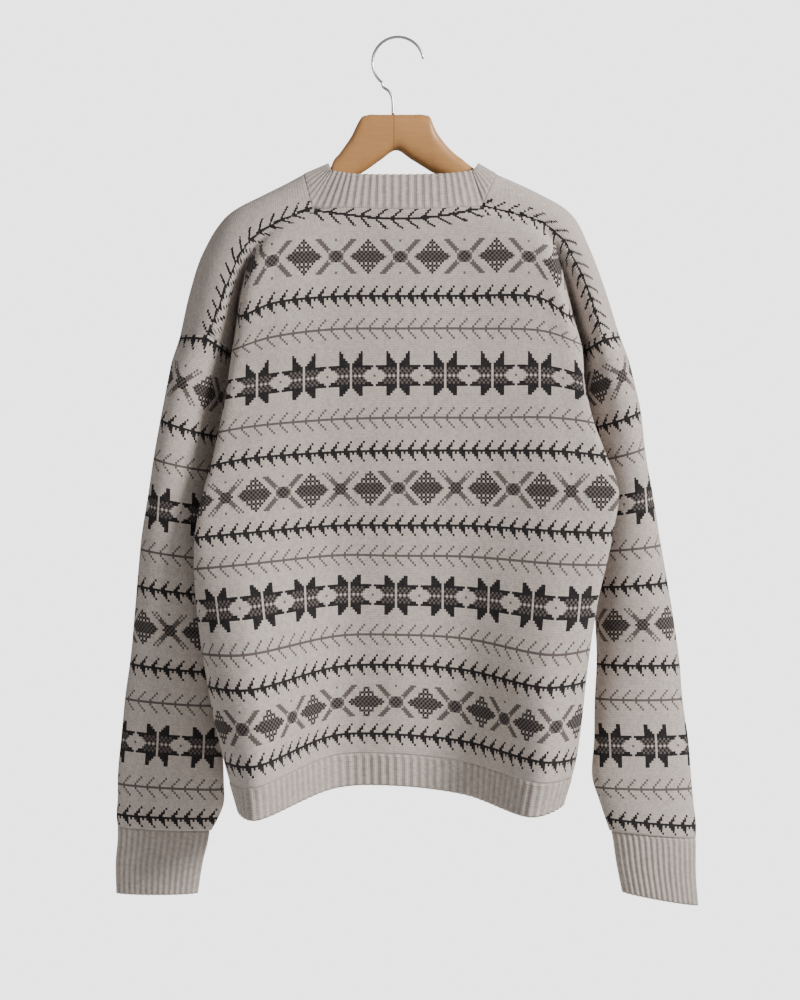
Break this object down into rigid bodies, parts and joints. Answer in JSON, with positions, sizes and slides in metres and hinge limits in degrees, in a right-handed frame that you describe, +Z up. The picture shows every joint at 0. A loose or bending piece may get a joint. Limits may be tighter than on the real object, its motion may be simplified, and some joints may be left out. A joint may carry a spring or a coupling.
{
  "type": "nordic cardigan on wooden hanger",
  "caption": "Knitted nordic cardigan with bands of stars and diamonds, hanging on a wooden hanger by its wire hook, open at neck, cuffs and hem.",
  "frame": {"origin": "inside top of the hook, where it rests on a rod or peg", "axes": "+Z up, the garment's back faces -Y, its buttoned front faces +Y, and the wearer's left sleeve is at -X"},
  "size_m": [0.6138, 0.1759, 0.9142],
  "materials": {
    "wool": "matt knitted wool with charcoal pattern bands",
    "rib": "matt ribbed wool",
    "horn": "smooth dark button",
    "beech": "satin varnish",
    "wire": "bright plated wire"
  },
  "bodies": {
    "root": {"back": "wool", "front_left": "wool", "front_right": "wool", "shoulder_left": "wool", "shoulder_right": "wool", "sleeve_left": "wool", "sleeve_right": "wool", "hem_back": "rib", "hem_front_left": "rib", "hem_front_right": "rib", "neckband": "rib", "button_band": "rib", "buttonhole_band": "rib", "cuff_left": "rib", "cuff_right": "rib", "button_1": "horn", "button_2": "horn", "button_3": "horn", "button_4": "horn", "button_5": "horn", "button_6": "horn", "button_7": "horn", "hanger": "beech", "hanger_hook": "wire"}
  },
  "joints": []
}
